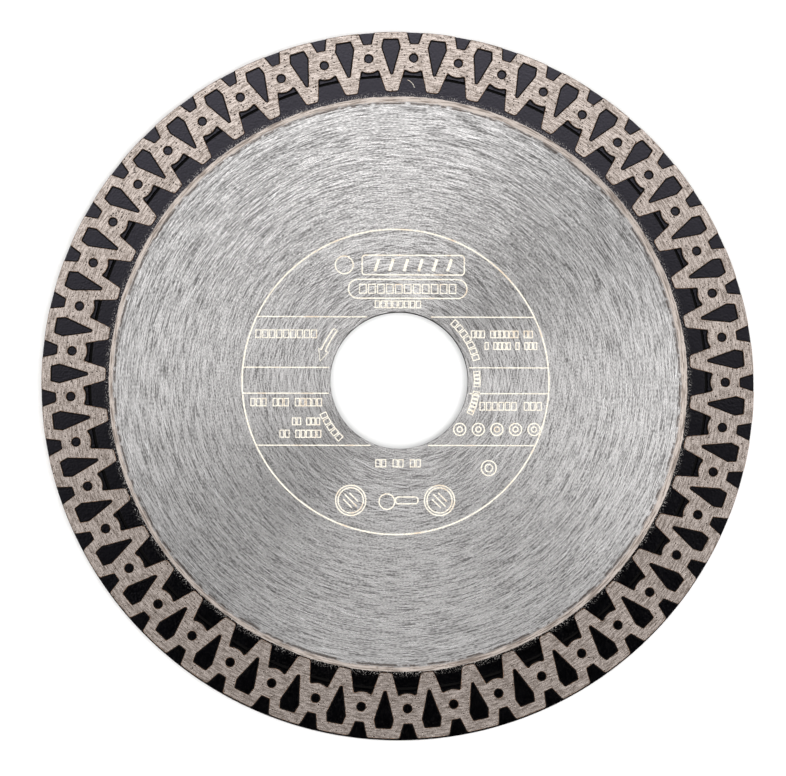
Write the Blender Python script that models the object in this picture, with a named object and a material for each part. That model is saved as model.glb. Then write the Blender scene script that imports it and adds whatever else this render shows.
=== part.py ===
"""A 115 mm mesh-rim diamond blade for cutting porcelain tile with an angle grinder.

It has two pieces: a flat steel core with the arbor bore, and a sintered diamond rim that is hot
pressed round the core's edge, so that its fingers lie over both faces of the steel.

The blade lies flat with its marked face up. Z is the spin axis, and the origin is the centre of
the bore, halfway through the thickness. Lengths are in metres.
"""

import math

import bpy
import bmesh
from mathutils import Matrix, Vector

# The whole blade
BLADE_RADIUS = 0.0575
BORE_RADIUS = 0.011115
CORE_THICKNESS = 0.0010
LAND_THICKNESS = 0.0014  # over the raised lands, which are the widest part
WEB_THICKNESS = 0.0008  # between the floors of the pockets

# The rim is moulded round this centre. The bore and the outer edge are ground afterwards, round
# the origin, so the lands are a little narrower on one side than on the other.
MOULD_CENTRE = Vector((0.0, 0.00034))
MOULD_RADIUS = 0.05755
CORE_EDGE_RADIUS = 0.0496
FIT_GAP = 0.00002  # between the steel and the sinter that is bonded to it

# The pattern: the same cell 45 times, with a kite-shaped pocket on its middle line
CELLS = 45
PITCH = math.tau / CELLS
FIRST_KITE = math.radians(3.37)

KITE_OUTER_RADIUS = 0.05602
KITE_OUTER_HALF = 0.00124
KITE_WIDEST_RADIUS = 0.05462
KITE_WIDEST_HALF = 0.00158
KITE_TIP_RADIUS = 0.05004
KITE_TIP_HALF = 0.00022

# Halfway between two kites: a notch in the outer edge, a round blind hole and an arch round it
NOTCH_FLOOR_RADIUS = 0.05518
NOTCH_FLOOR_HALF = 0.00071
NOTCH_MOUTH_HALF = 0.001475
NOTCH_MOUTH_FILLET = 0.0004
HOLE_RING_RADIUS = 0.05284
HOLE_RADIUS = 0.00076
ARCH_RADIUS = 0.00239
ARCH_HALF_ANGLE = math.radians(36.7)

# A finger reaches in over the core below each kite
FINGER_TIP_RADIUS = 0.04722
FINGER_TIP_HALF = 0.00098
FINGER_FILLET = 0.0005

# How finely round shapes are divided
HOLE_SIDES = 8
ARCH_STEPS = 3
FILLET_STEPS = 1
LAND_STEPS = 2
EDGE_SIDES = 3 * CELLS
CORE_EDGE_SIDES = 3 * CELLS
BORE_SIDES = 96

# Blanks and cutters reach this far past the surface that they end at
OVERSIZE = 0.001


def clear_scene():
    for obj in list(bpy.data.objects):
        bpy.data.objects.remove(obj, do_unlink=True)


def make_collection(name):
    collection = bpy.data.collections.new(name)
    bpy.context.scene.collection.children.link(collection)
    return collection


def make_material(name, colour, roughness, metallic):
    material = bpy.data.materials.new(name)
    material.use_nodes = True
    material.diffuse_color = (*colour, 1.0)
    shader = material.node_tree.nodes["Principled BSDF"]
    shader.inputs["Base Color"].default_value = (*colour, 1.0)
    shader.inputs["Roughness"].default_value = roughness
    shader.inputs["Metallic"].default_value = metallic
    return material


def arc(middle, radius, start, end, steps):
    """Points on an arc from one angle to another, both ends included."""
    angles = [start + (end - start) * step / steps for step in range(steps + 1)]
    return [middle + radius * Vector((math.cos(angle), math.sin(angle))) for angle in angles]


def circle(middle, radius, sides):
    return arc(middle, radius, 0, math.tau, sides)[:-1]


def fillet(before, corner, after, radius):
    """The points that replace a sharp corner by a round one, on the way from before to after."""
    back = (before - corner).normalized()
    on = (after - corner).normalized()
    half = back.angle(on) / 2
    middle = corner + (back + on).normalized() * radius / math.sin(half)
    first = corner + back * radius / math.tan(half) - middle
    last = corner + on * radius / math.tan(half) - middle
    turn = math.atan2(first.cross(last), first.dot(last))
    start = math.atan2(first.y, first.x)
    return arc(middle, radius, start, start + turn, FILLET_STEPS)


def on_line(angle, points):
    """Points drawn with +Y outwards, turned so that +Y runs out at this angle."""
    turn = Matrix.Rotation(angle - math.pi / 2, 2)
    return [turn @ point for point in points]


def kite_outline():
    side = [
        Vector((KITE_OUTER_HALF, KITE_OUTER_RADIUS)),
        Vector((KITE_WIDEST_HALF, KITE_WIDEST_RADIUS)),
        Vector((KITE_TIP_HALF, KITE_TIP_RADIUS)),
    ]
    return side + [Vector((-point.x, point.y)) for point in reversed(side)]


def notch_outline():
    """One notch from the land on its right to the land on its left, with rounded mouth corners."""
    mouth_angle = math.asin(NOTCH_MOUTH_HALF / MOULD_RADIUS)
    next_angle = mouth_angle + (PITCH - 2 * mouth_angle) / LAND_STEPS
    floor = Vector((NOTCH_FLOOR_HALF, NOTCH_FLOOR_RADIUS))
    mouth = MOULD_RADIUS * Vector((math.sin(mouth_angle), math.cos(mouth_angle)))
    land = MOULD_RADIUS * Vector((math.sin(next_angle), math.cos(next_angle)))
    right = fillet(land, mouth, floor, NOTCH_MOUTH_FILLET) + [floor]
    return right + [Vector((-point.x, point.y)) for point in reversed(right)]


def land_edge(notch_angle):
    """The moulded outer edge of the land that follows this notch, without its two corners."""
    mouth_angle = math.asin(NOTCH_MOUTH_HALF / MOULD_RADIUS)
    start = notch_angle + mouth_angle
    end = notch_angle + PITCH - mouth_angle
    return arc(Vector((0, 0)), MOULD_RADIUS, start, end, LAND_STEPS)[1:-1]


def arch_outline():
    """The inner side of the boss round a blind hole, from right to left."""
    middle = Vector((0, HOLE_RING_RADIUS))
    down = -math.pi / 2
    return arc(middle, ARCH_RADIUS, down + ARCH_HALF_ANGLE, down - ARCH_HALF_ANGLE, ARCH_STEPS)


def finger_tip():
    """The end of a finger from right to left, between two arches."""
    base = on_line(math.pi / 2 - PITCH / 2, arch_outline())[-1]
    corner = Vector((FINGER_TIP_HALF, FINGER_TIP_RADIUS))
    middle = Vector((0, FINGER_TIP_RADIUS))
    right = fillet(base, corner, middle, FINGER_FILLET)
    return right + [Vector((-point.x, point.y)) for point in reversed(right)]


def pattern_loops():
    """The outlines of the raised lands: outer edge, inner edge, kites and round holes."""
    outer, inner, pockets = [], [], []
    for cell in range(CELLS):
        kite_angle = FIRST_KITE + cell * PITCH
        hole_angle = kite_angle + PITCH / 2
        outer += on_line(hole_angle, notch_outline()) + land_edge(hole_angle)
        inner += on_line(kite_angle, finger_tip()) + on_line(hole_angle, arch_outline())
        pockets.append(on_line(kite_angle, kite_outline()))
        hole = circle(Vector((0, HOLE_RING_RADIUS)), HOLE_RADIUS, HOLE_SIDES)
        pockets.append(on_line(hole_angle, hole))
    return [outer, inner, *pockets]


def extruded(name, loops, middle, thickness, collection):
    """A mesh of this flat outline, with its loops centred on middle and its thickness across Z = 0."""
    curve = bpy.data.curves.new(name, "CURVE")
    curve.dimensions = "2D"
    curve.fill_mode = "BOTH"
    curve.extrude = thickness / 2
    for loop in loops:
        spline = curve.splines.new("POLY")
        spline.points.add(len(loop) - 1)
        for point, place in zip(spline.points, loop):
            point.co = (place.x + middle.x, place.y + middle.y, 0, 1)
        spline.use_cyclic_u = True
    outline = bpy.data.objects.new(name + "_outline", curve)
    collection.objects.link(outline)
    bpy.context.view_layer.update()
    graph = bpy.context.evaluated_depsgraph_get()
    mesh = bpy.data.meshes.new_from_object(outline.evaluated_get(graph))
    bpy.data.objects.remove(outline)
    shape = bmesh.new()
    shape.from_mesh(mesh)
    bmesh.ops.remove_doubles(shape, verts=shape.verts, dist=1e-6)
    bmesh.ops.recalc_face_normals(shape, faces=shape.faces)
    shape.to_mesh(mesh)
    shape.free()
    mesh.shade_smooth()
    mesh.set_sharp_from_angle(angle=math.radians(30))
    mesh.name = name
    obj = bpy.data.objects.new(name, mesh)
    collection.objects.link(obj)
    return obj


def hide(obj):
    obj.hide_render = True
    obj.display_type = "WIRE"


def add_boolean(obj, operation, other):
    modifier = obj.modifiers.new(other.name, "BOOLEAN")
    modifier.operation = operation
    modifier.object = other
    modifier.solver = "EXACT"


def make_core(parts):
    """The steel blank: its outer edge is centred in the mould, and its bore is on the spin axis."""
    edge = circle(MOULD_CENTRE, CORE_EDGE_RADIUS, CORE_EDGE_SIDES)
    bore = circle(Vector((0, 0)), BORE_RADIUS, BORE_SIDES)
    core = extruded("steel_core", [edge, bore], Vector((0, 0)), CORE_THICKNESS, parts)
    core.data.materials.append(make_material("brushed_steel", (0.46, 0.47, 0.49), 0.34, 1.0))
    return core


def make_rim(parts, cutters):
    """The sintered rim: raised lands on both faces of a thinner web, hollowed out for the core."""
    rim = extruded("diamond_rim", pattern_loops(), MOULD_CENTRE, LAND_THICKNESS, parts)
    rim.data.materials.append(make_material("sintered_metal", (0.40, 0.35, 0.31), 0.55, 0.6))

    centre = Vector((0, 0))
    web_loops = [
        circle(centre, MOULD_RADIUS + OVERSIZE, EDGE_SIDES),
        circle(centre, FINGER_TIP_RADIUS + OVERSIZE, EDGE_SIDES),
    ]
    web = extruded("web_blank", web_loops, MOULD_CENTRE, WEB_THICKNESS, cutters)
    seat_edge = circle(centre, CORE_EDGE_RADIUS + FIT_GAP, CORE_EDGE_SIDES)
    seat_thickness = CORE_THICKNESS + 2 * FIT_GAP
    seat = extruded("core_seat", [seat_edge], MOULD_CENTRE, seat_thickness, cutters)
    edge_loop = circle(centre, BLADE_RADIUS, EDGE_SIDES)
    edge_thickness = LAND_THICKNESS + 2 * OVERSIZE
    edge = extruded("ground_edge", [edge_loop], centre, edge_thickness, cutters)
    for helper in (web, seat, edge):
        hide(helper)
    add_boolean(rim, "UNION", web)
    add_boolean(rim, "DIFFERENCE", seat)
    add_boolean(rim, "INTERSECT", edge)
    return rim


def main():
    clear_scene()
    parts = make_collection("diamond_blade")
    cutters = make_collection("cutters")
    make_core(parts)
    make_rim(parts, cutters)


main()
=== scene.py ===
"""The looks of a 115 mm mesh-rim diamond blade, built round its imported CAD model.

The steel core, the paint round its edge, the laser marking and the sintered rim are each a fine
mesh with its own procedural finish. Lengths are in metres. The blade lies flat, its marked face
up, with the spin axis along Z and the origin at the centre of the bore.
"""

import math

import bmesh
import bpy
import numpy as np
from mathutils import Matrix, Vector, noise
from mathutils.geometry import delaunay_2d_cdt


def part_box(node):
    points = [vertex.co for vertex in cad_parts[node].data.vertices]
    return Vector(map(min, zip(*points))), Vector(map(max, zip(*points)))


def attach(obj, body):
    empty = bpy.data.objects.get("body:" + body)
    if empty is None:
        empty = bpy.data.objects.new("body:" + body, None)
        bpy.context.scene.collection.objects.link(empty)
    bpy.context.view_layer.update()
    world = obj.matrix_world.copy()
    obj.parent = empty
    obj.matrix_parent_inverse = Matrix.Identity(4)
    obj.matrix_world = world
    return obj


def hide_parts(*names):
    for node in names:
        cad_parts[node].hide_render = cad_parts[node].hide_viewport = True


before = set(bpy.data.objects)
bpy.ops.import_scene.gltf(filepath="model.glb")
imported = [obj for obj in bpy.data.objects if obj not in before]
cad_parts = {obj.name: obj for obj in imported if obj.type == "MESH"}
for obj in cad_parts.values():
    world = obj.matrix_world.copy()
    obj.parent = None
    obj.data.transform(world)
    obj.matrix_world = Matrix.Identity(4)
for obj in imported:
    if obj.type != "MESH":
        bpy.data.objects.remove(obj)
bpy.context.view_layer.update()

MM = 0.001

# ---------------------------------------------------------------- sizes from the frame
rim_low, rim_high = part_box("diamond_rim")
core_low, core_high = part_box("steel_core")
EDGE_RADIUS = min(rim_high[0], rim_high[1], -rim_low[0], -rim_low[1])
LAND_TOP = rim_high[2]
CORE_TOP = core_high[2]
CORE_EDGE_RADIUS = (core_high[0] - core_low[0]) / 2
WEB_TOP = 0.4 * MM
BORE_RADIUS = 11.12 * MM

# The bore and the outer edge are ground round the origin. The rim is pressed round its own centre
ORIGIN = Vector((0, 0))
MOULD_CENTRE = Vector((0.0, (core_high[1] + core_low[1]) / 2))

# ---------------------------------------------------------------- the pattern of the rim
CELLS = 45
PITCH = math.tau / CELLS
FIRST_KITE = math.radians(3.37)
MOULD_RADIUS = 57.55 * MM

KITE_CORNERS = ((1.24, 56.02), (1.58, 54.62), (0.22, 50.04))  # half its width and radius, in mm
KITE_FILLETS = (0.26, 0.28, 0.28)
NOTCH_FLOOR = Vector((0.71, 55.18)) * MM
NOTCH_FLOOR_FILLET = 0.24 * MM
NOTCH_MOUTH_HALF = 1.475 * MM
NOTCH_MOUTH_FILLET = 0.42 * MM
HOLE_RING_RADIUS = 52.84 * MM
HOLE_RADIUS = 0.76 * MM
HOLE_SIDES = 24
ARCH_RADIUS = 2.39 * MM
ARCH_HALF_ANGLE = math.radians(36.7)
ARCH_STEPS = 4
ARCH_END_FILLET = 0.27 * MM
FINGER_TIP = Vector((0.98, 47.22)) * MM
FINGER_FILLET = 0.5 * MM

FILLET_STEP = math.radians(14)
LAND_ARC_STEPS = 8
LONGEST_STEP = 0.36 * MM  # along any outline
WOBBLE = 0.022 * MM  # pressed edges aren't quite true
WOBBLE_LENGTH = 0.9 * MM
WOBBLE_SEED = 1  # without a seed, noise_vector starts somewhere else in each run
FACES_APART = 7  # wobble lengths from Z = 0 to where each face samples the noise

# The side of a land, from its ground top down to the floor of a pocket: how far out, and how high
LAND_PROFILE = (
    (-0.065 * MM, LAND_TOP),
    (0.000 * MM, LAND_TOP - 0.030 * MM),
    (0.085 * MM, WEB_TOP + 0.065 * MM),
    (0.195 * MM, WEB_TOP),
)
LAND_SHARP_ANGLE = math.radians(18)  # a land's top is flat right up to its rounding
INNER_SPREAD = 1.2  # how much further out the same profile reaches along the rim's inner edge
EDGE_MARGIN = 0.004 * MM  # what each step of that profile keeps from the ground outer edge
GROUND_BAND = 8 * EDGE_MARGIN  # a side this near the outer edge is ground metal too
WEB_INNER_RADIUS = 46.6 * MM
SEAT_GAP = 0.02 * MM
CREASE_WIDTH = 0.45 * MM
CREASE_SLOPE = 0.18 * MM  # how much of that width its painted side takes
CREASE_DEPTH = 0.17 * MM
SEAT_SIDES = 720

# The rim's finishes, in the order of its material slots. The third is painted shade, dead black
# for shadow
BARE, BROWNED, SHADE_BLACK, PAINTED = range(4)


# ================================================================ mesh helpers
SHARP_ANGLE = math.radians(30)


def arc(middle, radius, start, end, steps):
    angles = [start + (end - start) * step / steps for step in range(steps + 1)]
    return [middle + radius * Vector((math.cos(angle), math.sin(angle))) for angle in angles]


def circle(middle, radius, sides):
    return np.array(arc(middle, radius, 0, math.tau, sides)[:-1])


def fillet(before, corner, after, radius):
    """The points of the arc that rounds off a corner, on the way from before to after."""
    back = (before - corner).normalized()
    on = (after - corner).normalized()
    half = back.angle(on) / 2
    middle = corner + (back + on).normalized() * radius / math.sin(half)
    first = corner + back * radius / math.tan(half) - middle
    last = corner + on * radius / math.tan(half) - middle
    turn = math.atan2(first.cross(last), first.dot(last))
    start = math.atan2(first.y, first.x)
    return arc(middle, radius, start, start + turn, max(2, math.ceil(abs(turn) / FILLET_STEP)))


def rounded(corners, closed):
    """A path through (point, radius) corners, each rounded unless its radius is 0."""
    path = []
    for index, (corner, radius) in enumerate(corners):
        if radius == 0:
            path.append(corner)
            continue
        before = corners[index - 1][0]
        after = corners[(index + 1) % len(corners)][0]
        path += fillet(before, corner, after, radius)
    return divided(path + path[:1] if closed else path)


def divided(path):
    """The path with its long stretches divided, and without its last point."""
    points = []
    for start, end in zip(path, path[1:]):
        steps = max(1, math.ceil((end - start).length / LONGEST_STEP))
        points += [start.lerp(end, step / steps) for step in range(steps)]
    return points


def mirrored(right):
    """Corners on the right of an outline that is symmetric about Y, and then those on its left."""
    left = [(Vector((-point.x, point.y)), radius) for point, radius in reversed(right)]
    return right + left


def turned_outline(angle, points):
    """Points drawn with +Y outwards, turned so that +Y runs out at this angle."""
    turn = Matrix.Rotation(angle - math.pi / 2, 2)
    return [turn @ point for point in points]


def offset(loop, distance):
    """A closed loop moved to the right of its direction of travel."""
    ahead = np.roll(loop, -1, axis=0) - loop
    ahead /= np.linalg.norm(ahead, axis=1, keepdims=True)
    along = ahead + np.roll(ahead, 1, axis=0)
    along /= np.linalg.norm(along, axis=1, keepdims=True)
    return loop + distance * np.stack([along[:, 1], -along[:, 0]], axis=1)


class Surface:
    """A mesh under construction: loops of points, and the faces between them."""

    def __init__(self):
        self.points = []
        self.faces = []
        self.finishes = []

    def loop(self, outline, height):
        heights = np.broadcast_to(height, len(outline))
        first = len(self.points)
        self.points += [(x, y, z) for (x, y), z in zip(outline, heights)]
        return list(range(first, len(self.points)))

    def face(self, corners, finish=0):
        self.faces.append(corners)
        self.finishes.append(finish)

    def strip(self, first, second, finish=0):
        """Quads between two closed loops of the same length. A finish may be chosen per quad."""
        count = len(first)
        for index in range(count):
            following = (index + 1) % count
            corners = (first[index], first[following], second[following], second[index])
            self.face(corners, finish(corners) if callable(finish) else finish)

    def build(self, name, materials, sharp_angle=SHARP_ANGLE):
        mesh = bpy.data.meshes.new(name)
        mesh.from_pydata(self.points, [], self.faces)
        for material in materials:
            mesh.materials.append(material)
        mesh.polygons.foreach_set("material_index", self.finishes)
        shape = bmesh.new()
        shape.from_mesh(mesh)
        bmesh.ops.recalc_face_normals(shape, faces=shape.faces)
        shape.to_mesh(mesh)
        shape.free()
        mesh.shade_smooth()
        mesh.set_sharp_from_angle(angle=sharp_angle)
        obj = bpy.data.objects.new(name, mesh)
        bpy.context.scene.collection.objects.link(obj)
        return obj


# ================================================================ the sintered rim
def cell_outer_path():
    """The outer edge of one cell, from the middle of its right notch to that of its left one."""
    mouth_angle = math.pi / 2 - PITCH / 2 + math.asin(NOTCH_MOUTH_HALF / MOULD_RADIUS)
    land = arc(ORIGIN, MOULD_RADIUS, mouth_angle, math.pi - mouth_angle, LAND_ARC_STEPS)
    notch_angle = math.pi / 2 - PITCH / 2
    left_corner = Vector((-NOTCH_FLOOR.x, NOTCH_FLOOR.y))
    middle, floor = turned_outline(notch_angle, [Vector((0, NOTCH_FLOOR.y)), left_corner])
    right = [(middle, 0), (floor, NOTCH_FLOOR_FILLET), (land[0], NOTCH_MOUTH_FILLET)]
    right += [(point, 0) for point in land[1 : LAND_ARC_STEPS // 2]]
    top = [(land[LAND_ARC_STEPS // 2], 0)]
    corners = mirrored(right)
    return rounded(corners[: len(right)] + top + corners[len(right) :], closed=False)


def cell_inner_path():
    """The inner edge of one cell, from the middle of the arch on its right, round the finger."""
    down = -math.pi / 2
    middle = Vector((0, HOLE_RING_RADIUS))
    arch = arc(middle, ARCH_RADIUS, down, down - ARCH_HALF_ANGLE, ARCH_STEPS)
    arch = turned_outline(math.pi / 2 - PITCH / 2, arch)
    right = [(point, 0) for point in arch[:-1]]
    right += [(arch[-1], ARCH_END_FILLET), (FINGER_TIP, FINGER_FILLET)]
    return rounded(mirrored(right), closed=False)


def kite_loop():
    sizes = zip(KITE_CORNERS, KITE_FILLETS)
    corners = mirrored([(Vector(corner) * MM, radius * MM) for corner, radius in sizes])
    return rounded(corners[::-1], closed=True)


def hole_loop():
    """A round blind hole on the line between two cells, from its outermost point round to it."""
    up = math.pi / 2
    hole = arc(Vector((0, HOLE_RING_RADIUS)), HOLE_RADIUS, up, up + math.tau, HOLE_SIDES)
    return hole[:-1]


def wobbled(points, side):
    """Points drawn round the mould's centre, put in place, each a little off its true position."""
    placed = []
    for point in points:
        place = point + MOULD_CENTRE
        layer = side * WOBBLE_LENGTH * FACES_APART
        sample = Vector((place.x, place.y, layer)) / WOBBLE_LENGTH
        shift = noise.noise_vector(sample) * WOBBLE
        placed.append((place.x + shift.x, place.y + shift.y))
    return np.array(placed)


def within_edge(loop, margin):
    """A loop with whatever reaches past the ground outer edge brought back to it."""
    radius = np.linalg.norm(loop, axis=1, keepdims=True)
    return loop * np.minimum(1, (EDGE_RADIUS - margin) / radius)


def land_levels(surface, loop, away, side):
    """The loops down the side of a land. The pocket is on the right of the outline if away > 0,
    and the size of away is how far out the profile reaches, as a share of its own width."""
    levels = []
    for step, (distance, height) in enumerate(LAND_PROFILE):
        margin = EDGE_MARGIN * (len(LAND_PROFILE) - step) - min(0, distance)
        outline = within_edge(offset(loop, away * distance), margin)
        levels.append(surface.loop(outline, side * height))
    return levels


def make_rim_face(surface, side):
    """One face of the rim: its lands, the sides of its pockets and their floors."""
    outer_paths, inner_paths, kites, holes = [], [], [], []
    for cell in range(CELLS):
        kite_angle = FIRST_KITE + cell * PITCH
        outer_paths.append(turned_outline(kite_angle, cell_outer_path()))
        inner_paths.append(turned_outline(kite_angle, cell_inner_path()))
        kites.append(turned_outline(kite_angle, kite_loop()))
        holes.append(turned_outline(kite_angle - PITCH / 2, hole_loop()))

    def side_finish(corners):
        """Ground metal on the outer edge, a browned rounding, and painted shade on the rest of a
        side.
        """
        points = np.array([surface.points[corner] for corner in corners])
        if np.linalg.norm(points[:, :2], axis=1).min() > EDGE_RADIUS - GROUND_BAND:
            return BARE
        rounding_low = LAND_PROFILE[1][1] - EDGE_MARGIN
        # The walls are black paint on the blade, but here they and the foot of each pocket are
        # painted shade: dead black for their shadow
        return BROWNED if abs(points[:, 2]).min() > rounding_low else SHADE_BLACK

    outlines = {
        "outer": [(wobbled(sum(outer_paths, []), side), 1)],
        "inner": [(wobbled(sum(inner_paths, []), side), -INNER_SPREAD)],
        "kites": [(wobbled(kite, side), -1) for kite in kites],
        "holes": [(wobbled(hole, side), -1) for hole in holes],
    }
    tops, floors = {}, {}
    for kind, loops in outlines.items():
        tops[kind], floors[kind] = [], []
        for loop, away in loops:
            levels = land_levels(surface, loop, away, side)
            for upper, lower in zip(levels, levels[1:]):
                surface.strip(upper, lower, side_finish)
            tops[kind].append(levels[0])
            floors[kind].append(levels[-1])

    for pocket in floors["kites"] + floors["holes"]:
        surface.face(pocket, PAINTED)
    fill_lands(surface, tops)

    outer_floor = floors["outer"][0]
    edge = np.array([surface.points[index][:2] for index in outer_floor])
    edge *= EDGE_RADIUS / np.linalg.norm(edge, axis=1, keepdims=True)
    edge_loop = surface.loop(edge, side * WEB_TOP)
    surface.strip(outer_floor, edge_loop, PAINTED)

    inner_floor = floors["inner"][0]
    centre = np.array(MOULD_CENTRE)
    bore = np.array([surface.points[index][:2] for index in inner_floor]) - centre
    bore *= WEB_INNER_RADIUS / np.linalg.norm(bore, axis=1, keepdims=True)
    bore_loop = surface.loop(bore + centre, side * WEB_TOP)
    surface.strip(inner_floor, bore_loop, PAINTED)
    return edge_loop, bore_loop


INSIDE_OUTLINES = 1  # the output type of delaunay_2d_cdt that fills the outlines and no more
SAME_POINT = 1e-6  # points this near each other are one, in mm


def cell_stretch(loop, cell):
    """The share of one cell in a closed loop of all of them, up to where the next cell starts."""
    count = len(loop) // CELLS
    return [loop[(cell * count + step) % len(loop)] for step in range(count + 1)]


def fill_lands(surface, tops):
    """Fills the flat tops cell by cell, each between the middle lines of two round holes."""
    half = HOLE_SIDES // 2
    for cell in range(CELLS):
        right_hole = tops["holes"][cell]
        left_hole = tops["holes"][(cell + 1) % CELLS]
        boundary = cell_stretch(tops["outer"][0], cell)
        boundary += left_hole[:1] + left_hole[: half - 1 : -1]
        boundary += cell_stretch(tops["inner"][0], cell)[::-1]
        boundary += right_hole[half::-1]
        indices = boundary + tops["kites"][cell]
        flat = [Vector(surface.points[index][:2]) / MM for index in indices]
        faces = [list(range(len(boundary))), list(range(len(boundary), len(indices)))]
        filled = delaunay_2d_cdt(flat, [], faces, INSIDE_OUTLINES, SAME_POINT)
        _, _, triangles, sources, _, owners = filled
        for triangle, owner in zip(triangles, owners):
            if owner == [0]:
                surface.face([indices[sources[corner][0]] for corner in triangle], BARE)


def make_seat_cutter(finishes):
    """What the core's edge takes out of the rim, with the crease in front of it on both faces."""
    surface = Surface()
    seat_height = CORE_TOP + SEAT_GAP
    crease_floor = WEB_TOP - CREASE_DEPTH
    crease_top = (WEB_TOP + seat_height) / 2
    seat_radius = CORE_EDGE_RADIUS + SEAT_GAP
    crease_radius = seat_radius + CREASE_WIDTH
    half_profile = (
        (seat_radius, seat_height),
        (seat_radius, crease_top),
        (crease_radius, crease_top),
        (crease_radius, WEB_TOP),
        (crease_radius - CREASE_SLOPE, crease_floor),
        (seat_radius, crease_floor),
    )
    # The crease is painted shade, dead black for the shadow in the groove; only its outer slope
    # keeps the paint
    half_sides = (SHADE_BLACK, SHADE_BLACK, SHADE_BLACK, PAINTED, SHADE_BLACK)
    profile = half_profile + tuple((radius, -height) for radius, height in half_profile[::-1])
    sides = half_sides + (SHADE_BLACK,) + half_sides[::-1]
    rings = [surface.loop(circle(MOULD_CENTRE, radius, SEAT_SIDES), z) for radius, z in profile]
    for upper, lower, side in zip(rings, rings[1:], sides):
        surface.strip(upper, lower, side)
    surface.face(rings[0], SHADE_BLACK)
    surface.face(rings[-1][::-1], SHADE_BLACK)
    return surface.build("seat_cutter", finishes)


def make_rim(finishes):
    """The whole rim. Its finishes are in the order of BARE, BROWNED, SHADE_BLACK and PAINTED."""
    noise.seed_set(WOBBLE_SEED)
    surface = Surface()
    top_edge, top_bore = make_rim_face(surface, 1)
    bottom_edge, bottom_bore = make_rim_face(surface, -1)
    surface.strip(top_edge, bottom_edge, BARE)
    surface.strip(top_bore, bottom_bore, PAINTED)
    rim = surface.build("rim_segments", finishes, LAND_SHARP_ANGLE)
    cutter = make_seat_cutter(finishes)
    cut = rim.modifiers.new("core_seat", "BOOLEAN")
    cut.operation = "DIFFERENCE"
    cut.solver = "MANIFOLD"
    cut.object = cutter
    bpy.context.view_layer.update()
    graph = bpy.context.evaluated_depsgraph_get()
    cut_mesh = bpy.data.meshes.new_from_object(rim.evaluated_get(graph))
    rim.modifiers.clear()
    rim.data = cut_mesh
    rim.data.set_sharp_from_angle(angle=LAND_SHARP_ANGLE)
    bpy.data.objects.remove(cutter)
    return rim


# ================================================================ the steel core
CORE_SIDES = 360
BORE_CHAMFER = 0.05 * MM
CORE_EDGE_CHAMFER = 0.05 * MM
RING_RADII = (18 * MM, 26 * MM, 34 * MM, 42 * MM)  # where the flat face is divided
FACE, BORE_WALL = range(2)


def make_core(steel, shade_finish):
    """The whole core, as one closed band of strips. Its bore's wall and chamfers are painted
    shade.
    """
    surface = Surface()
    face = [circle(ORIGIN, BORE_RADIUS + BORE_CHAMFER, CORE_SIDES)]
    face += [circle(ORIGIN, radius, CORE_SIDES) for radius in RING_RADII]
    face += [circle(MOULD_CENTRE, CORE_EDGE_RADIUS - CORE_EDGE_CHAMFER, CORE_SIDES)]
    bore = circle(ORIGIN, BORE_RADIUS, CORE_SIDES)
    edge = circle(MOULD_CENTRE, CORE_EDGE_RADIUS, CORE_SIDES)
    loops = [surface.loop(bore, CORE_TOP - BORE_CHAMFER)]
    loops += [surface.loop(outline, CORE_TOP) for outline in face]
    loops += [surface.loop(edge, CORE_TOP - CORE_EDGE_CHAMFER)]
    loops += [surface.loop(edge, CORE_EDGE_CHAMFER - CORE_TOP)]
    loops += [surface.loop(outline, -CORE_TOP) for outline in reversed(face)]
    loops += [surface.loop(bore, BORE_CHAMFER - CORE_TOP)]
    finishes = [BORE_WALL] + [FACE] * (len(loops) - 3) + [BORE_WALL] * 2
    for first, second, finish in zip(loops, loops[1:] + loops[:1], finishes):
        surface.strip(first, second, finish)
    return surface.build("core_plate", [steel, shade_finish])


# ================================================================ the paint round its edge
PAINT_SIDES = 2160
PAINT_INNER_RADIUS = 46.71 * MM
PAINT_THICKNESS = 0.009 * MM
PAINT_SUNK = 0.004 * MM  # how deep the coat's own underside lies in the steel
UNDERSIDE_WIDTH = 0.15 * MM  # how far in from the steel's edge that underside ends
SHADED_WIDTH = 0.07 * MM  # how far in from the steel's edge the coat is painted shade, dead black for the crease's shadow
PAINT_WAVES = (  # how high and how long the unevenness of its inner edge is
    (0.10 * MM, 4.5 * MM),
    (0.055 * MM, 0.9 * MM),
    (0.06 * MM, 0.22 * MM),
)
# The coat's second finish is painted shade, dead black along its rounded edge for the shadow in
# the crease
COAT, SHADED_EDGE = range(2)


def ragged_circle(side):
    """The inner edge of the paint, where it was sprayed past a mask."""
    points = []
    for x, y in circle(ORIGIN, PAINT_INNER_RADIUS, PAINT_SIDES):
        radius = PAINT_INNER_RADIUS
        for height, length in PAINT_WAVES:
            radius += height * noise.noise(Vector((x, y, side * PAINT_INNER_RADIUS)) / length)
        points.append((x * radius / PAINT_INNER_RADIUS, y * radius / PAINT_INNER_RADIUS))
    return np.array(points)


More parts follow.
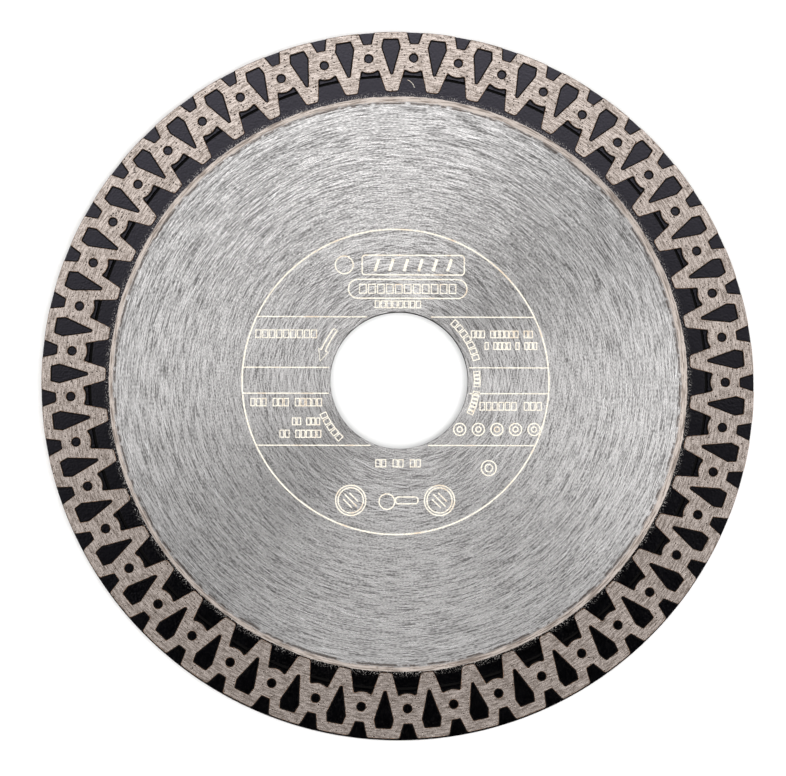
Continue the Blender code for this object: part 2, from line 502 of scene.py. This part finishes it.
def make_paint(painted, shade_finish):
    """One coat over both faces and the edge of the steel, as thin as paint is."""
    surface = Surface()
    insets = (UNDERSIDE_WIDTH, SHADED_WIDTH, CORE_EDGE_CHAMFER / 2, -PAINT_THICKNESS)
    buried, shade_start, shoulder, wrap = (
        circle(MOULD_CENTRE, CORE_EDGE_RADIUS - inset, PAINT_SIDES) for inset in insets
    )
    loops = []
    for side in (1, -1):
        ragged = ragged_circle(side)
        feather = ragged * (1 + PAINT_THICKNESS / PAINT_INNER_RADIUS)
        around = [
            surface.loop(buried, side * (CORE_TOP - PAINT_SUNK)),
            surface.loop(ragged, side * (CORE_TOP - PAINT_SUNK)),
            surface.loop(feather, side * (CORE_TOP + PAINT_THICKNESS)),
            surface.loop(shade_start, side * (CORE_TOP + PAINT_THICKNESS)),
            surface.loop(shoulder, side * (CORE_TOP + PAINT_THICKNESS)),
            surface.loop(wrap, side * (CORE_TOP - CORE_EDGE_CHAMFER / 2)),
        ]
        loops += around if side == 1 else reversed(around)
    half_sides = (COAT, COAT, COAT, SHADED_EDGE, SHADED_EDGE)
    sides = half_sides + (SHADED_EDGE,) + half_sides[::-1] + (COAT,)
    for first, second, side in zip(loops, loops[1:] + loops[:1], sides):
        surface.strip(first, second, side)
    return surface.build("edge_paint", [painted, shade_finish])


# ================================================================ the laser marking
MARK_TOP = CORE_TOP + 0.006 * MM
MARK_BOTTOM = CORE_TOP - 0.004 * MM
MARK_RING_CENTRE = Vector((-0.54, -0.10)) * MM  # the laser was set a little to one side
MARK_RING_RADIUS = 24.77 * MM
MARK_RING_WIDTH = 0.24 * MM
MARK_RING_SIDES = 240
RULE_WIDTH = 0.18 * MM
RULE_HEIGHTS = (10.3 * MM, 2.05 * MM, -2.15 * MM, -10.55 * MM)
BORE_CLEARANCE = 0.35 * MM
BLOCK_LINE_WIDTH = 0.22 * MM
BLOCK_SHARE = 0.74  # how much of its own room along the row a block fills
SYMBOL_LINE_WIDTH = 0.2 * MM
ROUND_BOX_STEPS = 8  # in each of its corners

# Rows of print, in mm: left end, height of the middle, length and height; then words, in blocks
PRINT_ROWS = (
    (-6.6, 14.9, 16.0, 1.45, (11,)),
    (-4.0, 12.35, 7.6, 1.1, (8,)),
    (-23.3, 7.5, 10.1, 1.25, (9,)),
    (11.6, 7.5, 10.1, 1.1, (3, 6, 2)),
    (13.8, 5.6, 8.6, 1.1, (1, 4, 1, 3)),
    (-24.0, -3.6, 11.6, 1.2, (3, 3, 5)),
    (-17.3, -6.7, 4.6, 1.1, (2, 3)),
    (-19.3, -8.7, 6.8, 1.15, (2, 5)),
    (12.9, -4.2, 10.2, 1.25, (6, 3)),
    (-3.9, -13.45, 7.4, 1.15, (2, 2, 2)),
)

# Print round the bore: radius in mm, both ends in radians and height in mm; then words, in blocks
PRINT_ARCS = (
    (12.9, 0.84, 0.25, 1.05, (7,)),
    (12.6, 0.12, -0.45, 0.95, (4, 6)),
    (13.4, -2.34, -2.74, 1.0, (5,)),
)

# Boxes with round corners, in mm: middle, length, height and corner radius
PRINT_FRAME = ((1.4, 14.9), 19.2, 3.1, 1.5)
EMBLEM_FRAME = ((2.3, 18.8), 16.6, 3.2, 0.5)
SIGN_BOX = ((1.2, -19.4), 3.6, 1.1, 0.5)

# The ticks in the emblem's frame, in mm
TICKS = 6
FIRST_TICK = Vector((-3.6, 18.8))
TICK_PITCH = 2.36
TICK_LENGTH, TICK_WIDTH = 2.1, 0.45
TICK_LEAN = math.radians(72)

# Plain rings: their middles, in mm, then each ring's radius, in mm, and number of sides, and
# whether slanted bars lie in them
RING_GROUPS = (
    ([(9.75 + 3.0 * index, -7.95) for index in range(5)], ((0.98, 32), (0.42, 20)), False),
    ([(-7.8, -19.4), (6.45, -19.4)], ((2.42, 64), (2.02, 64)), True),
    ([(-2.0, -19.6)], ((1.25, 40),), False),
    ([(-8.9, 18.8)], ((1.45, 48),), False),
    ([(14.4, -14.2)], ((1.2, 40), (0.6, 28)), False),
)
BAR_SHIFT = Vector((0.5, 0.5)) * MM  # from each slanted bar to the next
LONGEST_BAR = 2.8 * MM
BAR_SHORTENING = 0.8 * MM
BAR_ANGLE = math.radians(-45)

# The arrow, all in mm but for the angles of its tail, its neck and its tip
ARROW_RADIUS = 13.15
ARROW_HALF = 0.33
ARROW_BARB = 0.5
ARROW_ANGLES = (math.radians(141.5), math.radians(158.5), math.radians(166.5))
ARROW_STEPS = 8

# The scratch through the paint
SCUFF_CENTRE = Vector((0.70, 47.7)) * MM
SCUFF_BEND = 1.95 * MM
SCUFF_WIDTH = 0.06 * MM
SCUFF_ENDS = (math.radians(15), math.radians(68))
SCUFF_STEPS = 10


def prism(surface, outline, lift=0.0):
    """A flat shape as thin as a laser mark, from one closed outline."""
    top = surface.loop(outline, MARK_TOP + lift)
    bottom = surface.loop(outline, MARK_BOTTOM + lift)
    surface.face(top)
    surface.face(bottom[::-1])
    surface.strip(top, bottom)


def hollow_prism(surface, outline, width):
    """The same, but only a line of this width along the outline."""
    outer = offset(np.array(outline), width / 2)
    inner = offset(np.array(outline), -width / 2)
    loops = [
        surface.loop(outer, MARK_TOP),
        surface.loop(inner, MARK_TOP),
        surface.loop(inner, MARK_BOTTOM),
        surface.loop(outer, MARK_BOTTOM),
    ]
    for first, second in zip(loops, loops[1:] + loops[:1]):
        surface.strip(first, second)


def box_corners(centre, length, width, angle):
    """The corners of a rectangle with its long side at this angle."""
    along = Vector((math.cos(angle), math.sin(angle))) * length / 2
    across = Vector((-math.sin(angle), math.cos(angle))) * width / 2
    corners = (-along - across, along - across, along + across, -along + across)
    return [tuple(Vector(centre) + corner) for corner in corners]


def bar(surface, centre, length, width, angle=0.0):
    prism(surface, box_corners(centre, length, width, angle))


def blank_box(surface, centre, length, width, angle):
    """The outline of a box with nothing in it."""
    hollow_prism(surface, box_corners(centre, length, width, angle), BLOCK_LINE_WIDTH)


def round_box(centre, length, width, radius):
    """A box with round corners, drawn as a line. Its sizes are in mm."""
    outline = []
    for quarter in range(4):
        across = 1 if quarter in (0, 3) else -1
        up = 1 if quarter < 2 else -1
        reach = Vector((across * (length / 2 - radius), up * (width / 2 - radius)))
        start = quarter * math.pi / 2
        middle = Vector(centre) + reach
        outline += arc(middle, radius, start, start + math.pi / 2, ROUND_BOX_STEPS)
    return [tuple(point * MM) for point in outline]


def word_blocks(words):
    """Where the blocks of a row stand, and how long it is, in blocks. Words are a block apart."""
    places, start = [], 0
    for word in words:
        places += range(start, start + word)
        start += word + 1
    return places, start - 1


def block_row(surface, left, middle_height, length, height, words):
    """A row of blank boxes that stands for a line of print."""
    places, count = word_blocks(words)
    room = length / count
    for place in places:
        centre = (left + (place + 0.5) * room, middle_height)
        blank_box(surface, centre, height, room * BLOCK_SHARE, math.pi / 2)


def block_arc(surface, radius, start, end, height, words):
    """The same, along an arc round the bore."""
    places, count = word_blocks(words)
    step = (end - start) / count
    for place in places:
        angle = start + (place + 0.5) * step
        centre = radius * Vector((math.cos(angle), math.sin(angle)))
        blank_box(surface, centre, height, abs(step) * radius * BLOCK_SHARE, angle)


def make_border_marks(marking):
    """The ring and the four rules that run from it to the bore."""
    surface = Surface()
    ring = circle(MARK_RING_CENTRE, MARK_RING_RADIUS, MARK_RING_SIDES)
    hollow_prism(surface, ring, MARK_RING_WIDTH)
    keep_out = BORE_RADIUS + BORE_CHAMFER + BORE_CLEARANCE
    for height in RULE_HEIGHTS:
        rise = height - MARK_RING_CENTRE.y
        reach = math.sqrt(MARK_RING_RADIUS**2 - rise**2) - MARK_RING_WIDTH / 2
        bore_end = math.sqrt(keep_out**2 - height**2)
        for side in (-1, 1):
            ring_end = side * MARK_RING_CENTRE.x + reach
            centre = (side * (ring_end + bore_end) / 2, height)
            bar(surface, centre, ring_end - bore_end, RULE_WIDTH)
    return surface.build("marking_border", [marking])


def make_label_marks(marking):
    """Blank boxes where the maker prints words and figures. They spell nothing."""
    surface = Surface()
    hollow_prism(surface, round_box(*PRINT_FRAME), SYMBOL_LINE_WIDTH)
    for left, middle_height, length, height, words in PRINT_ROWS:
        block_row(surface, left * MM, middle_height * MM, length * MM, height * MM, words)
    for radius, start, end, height, words in PRINT_ARCS:
        block_arc(surface, radius * MM, start, end, height * MM, words)
    return surface.build("marking_labels", [marking])


def arrow_outline():
    """An outlined arrow that curves round the bore, against the clock."""
    tail, neck, tip = ARROW_ANGLES
    outer = arc(ORIGIN, ARROW_RADIUS + ARROW_HALF, tail, neck, ARROW_STEPS)
    inner = arc(ORIGIN, ARROW_RADIUS - ARROW_HALF, neck, tail, ARROW_STEPS)
    spread = ARROW_HALF + ARROW_BARB
    across = Vector((math.cos(neck), math.sin(neck)))
    point = Vector((math.cos(tip), math.sin(tip)))
    head = [
        (ARROW_RADIUS + spread) * across,
        ARROW_RADIUS * point,
        (ARROW_RADIUS - spread) * across,
    ]
    return [tuple(corner * MM) for corner in outer + head + inner]


def slanted_bars(surface, centre):
    """Three bars side by side, the middle one the longest."""
    for step in (-1, 0, 1):
        length = LONGEST_BAR - BAR_SHORTENING * abs(step)
        bar(surface, centre + step * BAR_SHIFT, length, SYMBOL_LINE_WIDTH, BAR_ANGLE)


def make_symbol_marks(marking):
    """An arrow for the way it turns, and plain shapes where the maker prints signs."""
    surface = Surface()
    hollow_prism(surface, arrow_outline(), SYMBOL_LINE_WIDTH)
    for places, rings, barred in RING_GROUPS:
        for place in places:
            centre = Vector(place) * MM
            for radius, sides in rings:
                hollow_prism(surface, circle(centre, radius * MM, sides), SYMBOL_LINE_WIDTH)
            if barred:
                slanted_bars(surface, centre)
    hollow_prism(surface, round_box(*SIGN_BOX), SYMBOL_LINE_WIDTH)
    hollow_prism(surface, round_box(*EMBLEM_FRAME), SYMBOL_LINE_WIDTH)
    for index in range(TICKS):
        centre = (FIRST_TICK + index * Vector((TICK_PITCH, 0))) * MM
        bar(surface, centre, TICK_LENGTH * MM, TICK_WIDTH * MM, TICK_LEAN)
    return surface.build("marking_symbols", [marking])


def make_scuff(marking):
    """A short curved scratch that goes through the paint between two fingers."""
    start, end = SCUFF_ENDS
    outer = arc(SCUFF_CENTRE, SCUFF_BEND, start, end, SCUFF_STEPS)
    inner = arc(SCUFF_CENTRE, SCUFF_BEND - SCUFF_WIDTH, end, start, SCUFF_STEPS)
    surface = Surface()
    prism(surface, [tuple(point) for point in outer + inner], PAINT_THICKNESS)
    return surface.build("paint_scuff", [marking])


# ================================================================ finishes
class Nodes:
    """A short way to write the nodes of a material or of the world."""

    def __init__(self, owner):
        owner.use_nodes = True
        self.tree = owner.node_tree

    def node(self, kind, inputs=(), **settings):
        node = self.tree.nodes.new(kind)
        for setting, value in settings.items():
            setattr(node, setting, value)
        for index, value in enumerate(inputs):
            self.feed(node.inputs[index], value)
        return node

    def feed(self, socket, value):
        if isinstance(value, bpy.types.NodeSocket):
            self.tree.links.new(value, socket)
        elif value is not None:
            socket.default_value = value

    def math(self, operation, *values):
        return self.node("ShaderNodeMath", values, operation=operation).outputs[0]

    def blend(self, factor, low, high):
        """The number low where factor is 0 and high where it is 1."""
        return self.math("MULTIPLY_ADD", factor, self.math("SUBTRACT", high, low), low)

    def span(self, value, low, high, to_low=0.0, to_high=1.0, smooth=False):
        """A value from low to high, brought to the range from to_low to to_high and held there."""
        kind = "SMOOTHSTEP" if smooth else "LINEAR"
        inputs = (value, low, high, to_low, to_high)
        return self.node("ShaderNodeMapRange", inputs, interpolation_type=kind).outputs[0]


class Finish(Nodes):
    """A Principled material, whose patterns lie in the object's own space."""

    def __init__(self, name):
        self.material = bpy.data.materials.new(name)
        super().__init__(self.material)
        self.shader = self.tree.nodes["Principled BSDF"]
        self.place = self.node("ShaderNodeTexCoord").outputs["Object"]

    def drive(self, **values):
        for name, value in values.items():
            self.feed(self.shader.inputs[name.replace("_", " ")], value)

    def noise(self, vector, scale, detail, roughness):
        inputs = (vector, None, scale, detail, roughness)
        return self.node("ShaderNodeTexNoise", inputs).outputs["Fac"]

    def patches(self, size, detail=2.0, roughness=0.6):
        return self.noise(self.place, 1 / size, detail, roughness)

    def cells(self, vector, scale=1.0):
        """Distance from the nearest of some scattered points, in cells."""
        return self.node("ShaderNodeTexVoronoi", (vector, None, scale)).outputs["Distance"]

    def colour(self, factor, low, high):
        node = self.node("ShaderNodeMix", data_type="RGBA")
        self.feed(node.inputs["Factor"], factor)
        for socket, value in ((node.inputs["A"], low), (node.inputs["B"], high)):
            self.feed(socket, value if isinstance(value, bpy.types.NodeSocket) else (*value, 1))
        return node.outputs["Result"]

    def bump(self, height, strength, distance):
        node = self.node("ShaderNodeBump")
        self.feed(node.inputs["Height"], height)
        node.inputs["Strength"].default_value = strength
        node.inputs["Distance"].default_value = distance
        return node.outputs["Normal"]

    def polar(self):
        """Distance from the spin axis, the angle round it, and the height."""
        x, y, z = self.node("ShaderNodeSeparateXYZ", (self.place,)).outputs
        squares = self.math("ADD", self.math("MULTIPLY", x, x), self.math("MULTIPLY", y, y))
        return self.math("SQRT", squares), self.math("ARCTAN2", y, x), z

    def wound(self, radius, angle, lean, around, length):
        """A space in which noise makes strokes along spirals. lean is the cotangent of a stroke's
        angle to the circle, around is how many strokes fit in a radian, and length how much
        radius a stroke covers."""
        turn = angle
        if lean:
            logarithm = self.math("LOGARITHM", radius, math.e)
            turn = self.math("MULTIPLY_ADD", logarithm, lean, angle)
        x = self.math("MULTIPLY", self.math("COSINE", turn), around)
        y = self.math("MULTIPLY", self.math("SINE", turn), around)
        z = self.math("DIVIDE", radius, length)
        return self.node("ShaderNodeCombineXYZ", (x, y, z)).outputs[0]

    def strokes(self, radius, angle, lean, size, detail=1.0):
        """Noise in a wound space. size holds its around and its length."""
        return self.noise(self.wound(radius, angle, lean, *size), 1.0, detail, 0.5)


# In what follows, the size of strokes is how many fit in a radian and how much radius each covers,
# and a range is what span brings to 0 and 1, or to the two numbers after it

# The brushed steel
STEEL_DARK = (0.13, 0.126, 0.124)
STEEL_LIGHT = (0.77, 0.752, 0.746)
STEEL_WORN = (0.42, 0.41, 0.41)
STEEL_GLINT = (0.92, 0.92, 0.92)
RUST = (0.13, 0.09, 0.06)
RUST_RANGE = (0.012, 0.035, 1.0, 0.0)
RUST_SHARE = 0.6
RUST_SPACING = 9 * MM
CROSSING_LEAN = 5.6
INNER_STROKES = (19, 0.6 * MM)  # near the bore
OUTER_STROKES = (34, 0.6 * MM)  # near the paint
OUTER_STROKES_RADII = (20 * MM, 34 * MM)  # where they take over from the inner ones
CIRCLING_STROKES = (10, 0.165 * MM)
CIRCLING_SHARE_RANGE = (22 * MM, 34 * MM, 0.08, 0.6)
STEEL_SPECKLES = (90, 0.15 * MM)
STEEL_SPECKLE_SHARE = 0.25
LEVEL_RADII = (24 * MM, 38 * MM)
LEVEL_RANGES = ((0.405, 0.39), (0.595, 0.61))  # the dark and the light end, at those two radii
CLOUD_SIZE = 7 * MM
CLOUD_RANGE = (0.3, 0.7, 0.0, 0.16)
GLINT_RANGE = (0.7, 0.78, 0.0, 0.7)

# The ring that heat has tinted, inside the paint. Its centre is a little off the spin axis
TINT_DARK = (0.21, 0.172, 0.148)
TINT_LIGHT = (0.49, 0.43, 0.39)
TINT_RADII = (45.76 * MM, 45.98 * MM)
TINT_OFFSET = 0.17 * MM
TINT_OFFSET_ANGLE = math.radians(200)
TINT_STREAKS = (16, 0.24 * MM)
TINT_STREAK_RANGE = (0.36, 0.56)
TINT_METALLIC = 0.55
TINT_WAVE_SIZE = 1.6 * MM
TINT_WAVE_RANGE = (0.2, 0.8, -0.16 * MM, 0.16 * MM)
TINT_TOOTH_SIZE = 0.3 * MM
TINT_TOOTH_RANGE = (0.2, 0.8, -0.14 * MM, 0.14 * MM)

# The dark line along its inner side
TINT_LINE = (0.09, 0.07, 0.06)
TINT_LINE_RADIUS = 45.66 * MM
TINT_LINE_HALF = 0.28 * MM
TINT_LINE_BREAKS = (0.40, 0.50, 0.1, 1.0)


def make_steel():
    """Ground and brushed steel: fine strokes that cross at a small angle round the bore."""
    steel = Finish("brushed_core_steel")
    radius, angle, _ = steel.polar()
    circling = steel.strokes(radius, angle, 0, CIRCLING_STROKES)
    outwards = steel.span(radius, *OUTER_STROKES_RADII)
    crossing = []
    for lean in (CROSSING_LEAN, -CROSSING_LEAN):
        inner, outer = (
            steel.strokes(radius, angle, lean, size) for size in (INNER_STROKES, OUTER_STROKES)
        )
        crossing.append(steel.blend(outwards, inner, outer))
    crossed = steel.math("MULTIPLY", steel.math("ADD", *crossing), 0.5)
    strokes = steel.blend(steel.span(radius, *CIRCLING_SHARE_RANGE), crossed, circling)
    speckle = steel.strokes(radius, angle, 0, STEEL_SPECKLES, detail=0.0)
    grain = steel.blend(STEEL_SPECKLE_SHARE, strokes, speckle)
    low, high = (steel.span(radius, *LEVEL_RADII, *ends) for ends in LEVEL_RANGES)
    level = steel.span(grain, low, high)
    brushed = steel.colour(level, STEEL_DARK, STEEL_LIGHT)
    clouds = steel.span(steel.patches(CLOUD_SIZE, roughness=0.5), *CLOUD_RANGE)
    brushed = steel.colour(clouds, brushed, STEEL_WORN)
    # Painted glints: the brightest crossing strokes are made nearly white in the colour
    glint = steel.span(steel.math("MAXIMUM", *crossing), *GLINT_RANGE)
    brushed = steel.colour(glint, brushed, STEEL_GLINT)

    waver = steel.patches(TINT_WAVE_SIZE)
    teeth = steel.patches(TINT_TOOTH_SIZE)
    aside = steel.math("COSINE", steel.math("SUBTRACT", angle, TINT_OFFSET_ANGLE))
    centred = steel.math("MULTIPLY_ADD", aside, -TINT_OFFSET, radius)
    wavy = steel.math("ADD", centred, steel.span(waver, *TINT_WAVE_RANGE))
    ragged = steel.math("ADD", wavy, steel.span(teeth, *TINT_TOOTH_RANGE))
    tint = steel.span(ragged, *TINT_RADII, smooth=True)
    streaks = steel.span(steel.strokes(radius, angle, 0, TINT_STREAKS), *TINT_STREAK_RANGE)
    shown = steel.colour(tint, brushed, steel.colour(streaks, TINT_DARK, TINT_LIGHT))
    off_line = steel.math("ABSOLUTE", steel.math("SUBTRACT", wavy, TINT_LINE_RADIUS))
    line = steel.span(off_line, 0.0, TINT_LINE_HALF, 1.0, 0.0)
    broken = steel.math("MULTIPLY", line, steel.span(waver, *TINT_LINE_BREAKS))
    shown = steel.colour(broken, shown, TINT_LINE)

    spot = steel.span(steel.cells(steel.place, 1 / RUST_SPACING), *RUST_RANGE)
    shown = steel.colour(steel.math("MULTIPLY", spot, RUST_SHARE), shown, RUST)

    steel.drive(
        Base_Color=shown,
        Metallic=steel.span(tint, 0.0, 1.0, 1.0, TINT_METALLIC),
        Roughness=steel.span(level, 0.0, 1.0, 0.34, 0.26),
        Anisotropic=0.82,
        Anisotropic_Rotation=0.25,
        Tangent=steel.node("ShaderNodeTangent", direction_type="RADIAL", axis="Z").outputs[0],
        Normal=steel.bump(grain, 0.2, 0.02 * MM),
    )
    return steel.material


# The ground sinter of the lands
SINTER_DARK = (0.20, 0.163, 0.139)
SINTER_LIGHT = (0.575, 0.50, 0.458)
SINTER_MOTTLED = (0.20, 0.158, 0.132)
SINTER_GRIT = (0.16, 0.125, 0.105)
SINTER_PIT = (0.045, 0.034, 0.028)
SINTER_SCRATCHES = (38, 0.15 * MM)
SINTER_SPECKLE_SIZE = 0.2 * MM
SINTER_SPECKLE_SHARE = 0.36
SINTER_RANGE = (0.385, 0.605)
MOTTLE_SIZE = 0.7 * MM
MOTTLE_RANGE = (0.4, 0.7, 0.0, 0.12)
GRIT_SIZE = 0.24 * MM
GRIT_RANGE = (0.54, 0.66, 0.0, 0.4)
PITS = (80, 0.5 * MM)
PIT_RANGE = (0.18, 0.32, 1.0, 0.0)
PITTED_RANGE = (0.45, 0.53)  # the mottling where pits appear


def make_sinter():
    """Ground sinter: a coppery grey matrix, scratched along the cut and pitted by lost grit."""
    sinter = Finish("ground_sinter")
    distance, angle, height = sinter.polar()
    radius = sinter.math("ADD", distance, height)  # so that the ground edge is scratched too
    scratches = sinter.strokes(radius, angle, 0, SINTER_SCRATCHES)
    speckle = sinter.patches(SINTER_SPECKLE_SIZE, detail=1.0, roughness=0.5)
    mottle = sinter.patches(MOTTLE_SIZE, detail=3.0)
    lines = sinter.blend(SINTER_SPECKLE_SHARE, scratches, speckle)
    matrix = sinter.colour(sinter.span(lines, *SINTER_RANGE), SINTER_DARK, SINTER_LIGHT)
    matrix = sinter.colour(sinter.span(mottle, *MOTTLE_RANGE), matrix, SINTER_MOTTLED)
    grit = sinter.span(sinter.patches(GRIT_SIZE), *GRIT_RANGE)
    matrix = sinter.colour(grit, matrix, SINTER_GRIT)
    pit = sinter.cells(sinter.wound(radius, angle, 0, *PITS))
    pit = sinter.span(pit, *PIT_RANGE, smooth=True)
    pit = sinter.math("MULTIPLY", pit, sinter.span(mottle, *PITTED_RANGE))
    sinter.drive(
        Base_Color=sinter.colour(pit, matrix, SINTER_PIT),
        Metallic=0.75,
        Roughness=sinter.span(pit, 0.0, 1.0, 0.27, 0.8),
        Normal=sinter.bump(sinter.math("SUBTRACT", lines, pit), 0.5, 0.03 * MM),
    )
    return sinter.material


# The browned rounding of the lands, and the painted shade: dead black where shadow falls
BROWN_DARK = (0.03, 0.018, 0.011)
BROWN_LIGHT = (0.17, 0.095, 0.055)
BROWN_PATCH_SIZE = 0.6 * MM
BROWN_RANGE = (0.35, 0.65)
SHADE_BLACK_DARK = (0.0005, 0.0005, 0.0005)
SHADE_BLACK_LIGHT = (0.003, 0.0025, 0.002)
SHADE_BLACK_PATCH_SIZE = 0.5 * MM


def make_browned():
    """The rounding of a land's top, in a dark brown, darker than the ground top."""
    browned = Finish("browned_edge")
    patches = browned.span(browned.patches(BROWN_PATCH_SIZE), *BROWN_RANGE)
    browned.drive(
        Base_Color=browned.colour(patches, BROWN_DARK, BROWN_LIGHT),
        Metallic=0.4,
        Roughness=0.5,
    )
    return browned.material


def make_painted_shade():
    """Painted shade: dead black for the shadow in the pockets, the crease and the bore."""
    painted_shade = Finish("pocket_painted_shade")
    painted_shade.drive(
        Base_Color=painted_shade.colour(painted_shade.patches(SHADE_BLACK_PATCH_SIZE), SHADE_BLACK_DARK, SHADE_BLACK_LIGHT),
        Roughness=0.7,
        Specular_IOR_Level=0.06,
    )
    return painted_shade.material


# The black paint
PAINT_DARK = (0.0003, 0.0003, 0.0005)
PAINT_LIGHT = (0.0007, 0.0007, 0.001)
PAINT_THIN = (0.13, 0.115, 0.10)
PAINT_SKIN_SIZE = 0.3 * MM
BLOTCH_SIZE = 2.2 * MM
FRINGE_RANGE = (46.65 * MM, 46.95 * MM, 1.0, 0.0)  # the radii where the paint is thin
DUST = (0.34, 0.32, 0.30)
DUST_SIZE = 0.15 * MM
DUST_RANGE = (0.60, 0.65)
DUSTY_RANGE = (46.65 * MM, 47.7 * MM, 1.0, 0.02)  # most of the dust lies along the inner edge


def make_paint_finish():
    """Thin black paint over metal: a low sheen, a fine skin, and a little pale dust."""
    paint = Finish("black_edge_paint")
    radius, _, _ = paint.polar()
    skin = paint.patches(PAINT_SKIN_SIZE, detail=1.0, roughness=0.5)
    blotch = paint.patches(BLOTCH_SIZE, roughness=0.55)
    dust = paint.span(paint.patches(DUST_SIZE, detail=1.0, roughness=0.5), *DUST_RANGE)
    fleck = paint.math("MULTIPLY", dust, paint.span(radius, *DUSTY_RANGE, smooth=True))
    fringe = paint.span(radius, *FRINGE_RANGE)
    thin = paint.math("MULTIPLY", fringe, paint.span(skin, 0.35, 0.65, 0.0, 0.3))
    black = paint.colour(paint.span(blotch, 0.35, 0.65), PAINT_DARK, PAINT_LIGHT)
    paint.drive(
        Base_Color=paint.colour(fleck, paint.colour(thin, black, PAINT_THIN), DUST),
        Roughness=paint.span(blotch, 0.3, 0.7, 0.06, 0.09),
        Specular_Tint=(0.86, 0.82, 1.0, 1),
        Normal=paint.bump(skin, 0.5, 0.022 * MM),
    )
    return paint.material


# The oxide of the laser marking
OXIDE_DARK = (0.46, 0.43, 0.375)
OXIDE_PALE = (0.78, 0.73, 0.62)
OXIDE_WARM = (0.62, 0.48, 0.34)
OXIDE_GRAIN_SIZE = 0.2 * MM
OXIDE_GRAIN_RANGE = (0.32, 0.50)
WARM_SIZE = 3.2 * MM
WARM_RANGE = (0.54, 0.72)


def make_marking_finish():
    """The pale oxide that the laser leaves, in fine grains with steel between them."""
    marking = Finish("laser_oxide")
    grain = marking.patches(OXIDE_GRAIN_SIZE)
    warm = marking.span(marking.patches(WARM_SIZE), *WARM_RANGE)
    pale = marking.colour(warm, OXIDE_PALE, OXIDE_WARM)
    marking.drive(
        Base_Color=marking.colour(marking.span(grain, *OXIDE_GRAIN_RANGE), OXIDE_DARK, pale),
        Roughness=marking.span(grain, 0.3, 0.6, 0.5, 0.8),
        Normal=marking.bump(grain, 0.3, 0.01 * MM),
    )
    return marking.material


# ================================================================ floor, light and camera
FLOOR_SIZE = 6.0
FLOOR_WHITE = (0.80, 0.80, 0.795, 1)
CAMERA_PLACE = Vector((-11.148, -38.889, 352.4)) * MM
CAMERA_TURN = (math.radians(6.098), math.radians(-1.656), math.radians(0.134))
CAMERA_LENS, CAMERA_SENSOR = 100.53, 36  # in mm
CAMERA_CLIP = (0.01, 20)


def make_floor():
    bpy.ops.mesh.primitive_plane_add(size=FLOOR_SIZE, location=(0, 0, rim_low[2]))
    floor = bpy.context.object
    floor.name = "studio_floor"
    white = Finish("studio_white")
    white.drive(Base_Color=FLOOR_WHITE, Roughness=0.7)
    floor.data.materials.append(white.material)


def make_camera():
    data = bpy.data.cameras.new("camera")
    data.lens = CAMERA_LENS
    data.sensor_width = CAMERA_SENSOR
    data.clip_start, data.clip_end = CAMERA_CLIP
    camera = bpy.data.objects.new("camera", data)
    camera.location = CAMERA_PLACE
    camera.rotation_mode = "YXZ"
    camera.rotation_euler = CAMERA_TURN
    bpy.context.scene.collection.objects.link(camera)
    bpy.context.scene.camera = camera


# The studio's soft light: its plain part, and then, for each brighter or darker part, the azimuth,
# the tilt from straight up and the half width, all in degrees, and how much is added there
BASE_LIGHT = 1.33
LIGHT_LOBES = (
    (93, 20, 22, 1.9),
    (0, 42, 30, 2.7),
    (184, 46, 27, 1.5),
    (264, 50, 34, 1.3),
    (244, 46, 18, 0.7),
    (290, 48, 18, 0.6),
    (45, 38, 23, -1.25),
    (215, 40, 20, -1.33),
    (130, 46, 28, -1.2),
)

# The hole that the camera looks through, in degrees: the azimuth and tilt of its middle, how far
# from there it is quite dark, and how far from there the tent is fully lit
HOLE = (-40.0, 2.5)
HOLE_DARK_WIDTH, HOLE_LIT_WIDTH = 6.5, 22.0


def make_light():
    """A white tent, brightest behind the blade and at its sides, with a hole for the camera."""
    world = bpy.data.worlds.new("studio_tent")
    bpy.context.scene.world = world
    tent = Nodes(world)
    way = tent.node("ShaderNodeTexCoord").outputs["Generated"]

    def towards(azimuth, tilt):
        """The cosine of the angle between each way and this one."""
        aim = Vector((0, 0, 1))
        aim.rotate(Matrix.Rotation(math.radians(tilt), 3, "Y"))
        aim.rotate(Matrix.Rotation(math.radians(azimuth), 3, "Z"))
        compared = tent.node("ShaderNodeVectorMath", (way, aim), operation="DOT_PRODUCT")
        return compared.outputs["Value"]

    total = BASE_LIGHT
    for azimuth, tilt, width, brightness in LIGHT_LOBES:
        edge = math.cos(math.radians(width))
        lobe = tent.span(towards(azimuth, tilt), edge, 1.0, 0.0, brightness, smooth=True)
        total = tent.math("ADD", total, lobe)
    lit, dark = (math.cos(math.radians(width)) for width in (HOLE_LIT_WIDTH, HOLE_DARK_WIDTH))
    hole = tent.span(towards(*HOLE), lit, dark, 1.0, 0.0)
    background = tent.tree.nodes["Background"]
    tent.feed(background.inputs["Strength"], tent.math("MULTIPLY", total, hole))
    tent.feed(background.inputs["Color"], (1, 1, 1, 1))


# ================================================================ put together
def main():
    scene = bpy.context.scene
    scene.view_settings.view_transform = "Standard"
    steel, sinter = make_steel(), make_sinter()
    paint, marking, painted_shade = make_paint_finish(), make_marking_finish(), make_painted_shade()

    rim = make_rim([sinter, make_browned(), painted_shade, paint])
    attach(rim, "root")
    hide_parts("diamond_rim")

    core = make_core(steel, painted_shade)
    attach(core, "root")
    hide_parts("steel_core")

    coat = make_paint(paint, painted_shade)
    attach(coat, "root")

    scuff = make_scuff(marking)
    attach(scuff, "root")

    for make_marks in (make_border_marks, make_label_marks, make_symbol_marks):
        marks = make_marks(marking)
        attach(marks, "root")

    make_floor()
    make_light()
    make_camera()


main()
